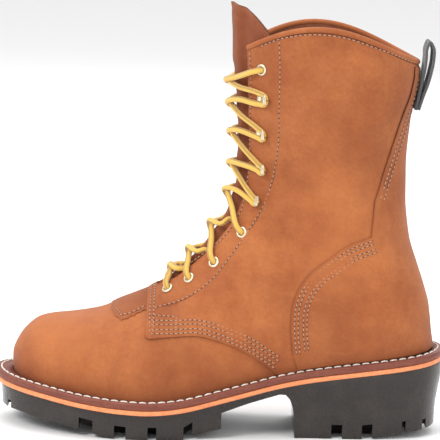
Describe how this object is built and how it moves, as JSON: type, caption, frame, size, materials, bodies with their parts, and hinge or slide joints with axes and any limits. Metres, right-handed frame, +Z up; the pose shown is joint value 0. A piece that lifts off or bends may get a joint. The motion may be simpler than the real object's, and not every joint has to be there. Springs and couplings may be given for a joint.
{
  "type": "logger boot",
  "caption": "High laced leather work boot with a raised heel, lugged rubber outsole, stitched welt, eyelets, hooks and a webbing pull loop; one left boot.",
  "frame": {"origin": "on the ground under the middle of the sole's outline", "axes": "+X from toe to heel, -Y to the outer side of the left foot, +Z up"},
  "size_m": [0.3144, 0.1157, 0.2975],
  "materials": {
    "tan_leather": "matt oiled nubuck",
    "brown_leather": "matt",
    "welt_leather": "satin, stitched",
    "midsole_leather": "satin edge",
    "black_rubber": "matt moulded",
    "pale_brass": "polished, pale",
    "gold_lace": "woven round lace",
    "grey_webbing": "woven webbing"
  },
  "bodies": {
    "root": {"outsole": "black_rubber", "midsole": "midsole_leather", "welt": "welt_leather", "insole": "brown_leather", "upper": "tan_leather", "tongue": "brown_leather", "collar_binding": "tan_leather", "pull_loop": "grey_webbing", "eyelet_outer_1": "pale_brass", "eyelet_outer_2": "pale_brass", "eyelet_outer_3": "pale_brass", "eyelet_outer_4": "pale_brass", "eyelet_outer_5": "pale_brass", "eyelet_inner_1": "pale_brass", "eyelet_inner_2": "pale_brass", "eyelet_inner_3": "pale_brass", "eyelet_inner_4": "pale_brass", "eyelet_inner_5": "pale_brass", "hook_outer_1": "pale_brass", "hook_outer_2": "pale_brass", "hook_outer_3": "pale_brass", "hook_outer_4": "pale_brass", "hook_inner_1": "pale_brass", "hook_inner_2": "pale_brass", "hook_inner_3": "pale_brass", "hook_inner_4": "pale_brass", "lace_crossing_1": "gold_lace", "lace_crossing_2": "gold_lace", "lace_crossing_3": "gold_lace", "lace_crossing_4": "gold_lace", "lace_crossing_5": "gold_lace", "lace_crossing_6": "gold_lace", "lace_crossing_7": "gold_lace", "lace_crossing_8": "gold_lace"}
  },
  "joints": []
}
